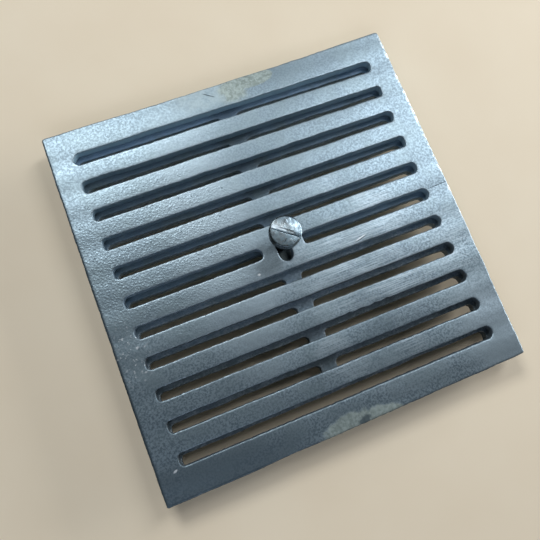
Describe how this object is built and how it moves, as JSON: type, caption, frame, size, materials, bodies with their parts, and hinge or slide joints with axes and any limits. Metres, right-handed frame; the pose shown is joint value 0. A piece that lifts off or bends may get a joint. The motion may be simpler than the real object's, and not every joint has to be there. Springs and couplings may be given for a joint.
{
  "type": "adjustable wall ventilator grille",
  "caption": "Square cast-iron ventilator grille with rows of slots and a slotted slider behind them, pushed open and shut by a knob screw.",
  "frame": {"origin": "middle of the plane on the front plate's back, which beds on the wall", "axes": "+Z out of the front face, +Y towards the plate's top edge (slider up is open), +X to the right seen from the front"},
  "size_m": [0.2296, 0.2306, 0.0436],
  "materials": {
    "ground_cast_iron": "linished grey iron, fine casting grain left in it",
    "rough_cast_iron": "as cast, dark grey",
    "bright_steel": "worn bright steel",
    "plain_steel": "dull plain steel"
  },
  "bodies": {
    "frame": {"front_plate": "ground_cast_iron", "clip_top_left": "plain_steel", "clip_top_right": "plain_steel", "clip_bottom_right": "plain_steel", "clip_bottom_left": "plain_steel", "clip_screw_top_left": "plain_steel", "clip_screw_top_right": "plain_steel", "clip_screw_bottom_right": "plain_steel", "clip_screw_bottom_left": "plain_steel"},
    "slider": {"slider_plate": "rough_cast_iron", "knob_screw": "bright_steel"}
  },
  "joints": [
    {"name": "slider_slide", "type": "slide", "parent": "frame", "child": "slider", "axis": [0, 1, 0], "range_m": [-0.0074, 0.0026]}
  ]
}
